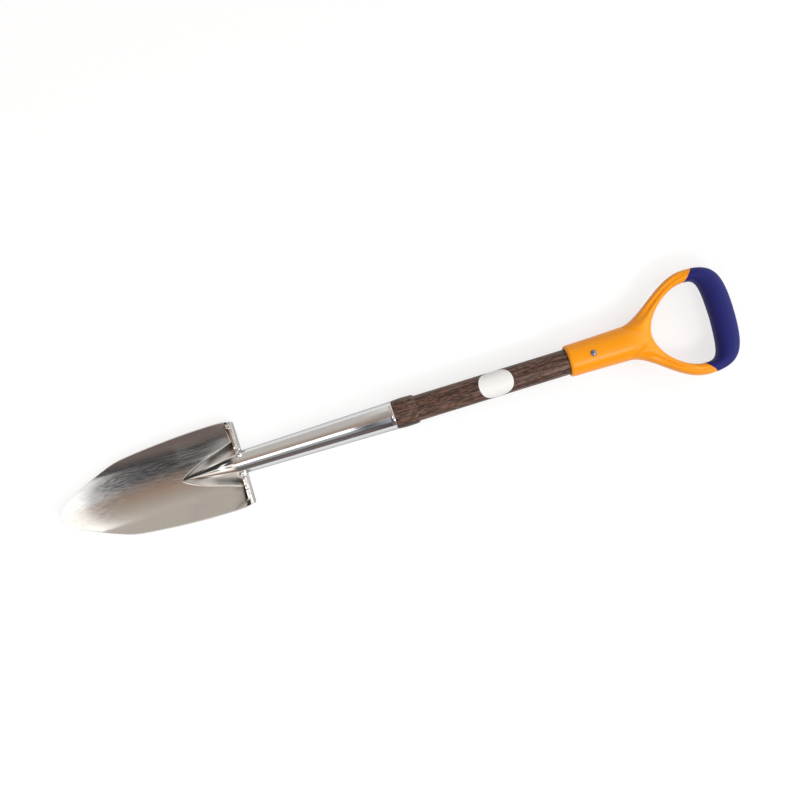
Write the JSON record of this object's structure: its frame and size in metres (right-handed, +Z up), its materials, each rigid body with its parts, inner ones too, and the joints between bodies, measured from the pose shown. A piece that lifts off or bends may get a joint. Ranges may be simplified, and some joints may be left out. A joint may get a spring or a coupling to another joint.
{
  "type": "transplanting spade",
  "caption": "Transplanting spade: long narrow dished steel blade with a raised frog and welded treads, tapered steel socket, wooden shaft and moulded D grip.",
  "frame": {"origin": "middle of the spade's length and width, on the plane it lies on", "axes": "+X along the shaft from the blade's tip to the grip, +Y across the blade, +Z up out of the dished face"},
  "size_m": [0.9379, 0.1428, 0.0471],
  "materials": {
    "blade_steel": "polished stainless steel",
    "weld_metal": "bare weld bead, uneven",
    "socket_steel": "polished stainless steel",
    "shaft_wood": "dark stained hardwood, satin",
    "label_white": "bare white sticker",
    "grip_orange": "satin moulded plastic",
    "sleeve_navy": "soft touch, satin",
    "fastener_steel": "plated steel"
  },
  "bodies": {
    "root": {"blade": "blade_steel", "tread_left": "blade_steel", "tread_right": "blade_steel", "heel_web": "blade_steel", "neck_weld_left": "weld_metal", "neck_weld_right": "weld_metal", "socket": "socket_steel", "socket_screw": "fastener_steel", "shaft": "shaft_wood", "label": "label_white", "grip_frame": "grip_orange", "grip_sleeve": "sleeve_navy", "grip_rivet": "fastener_steel"}
  },
  "joints": []
}
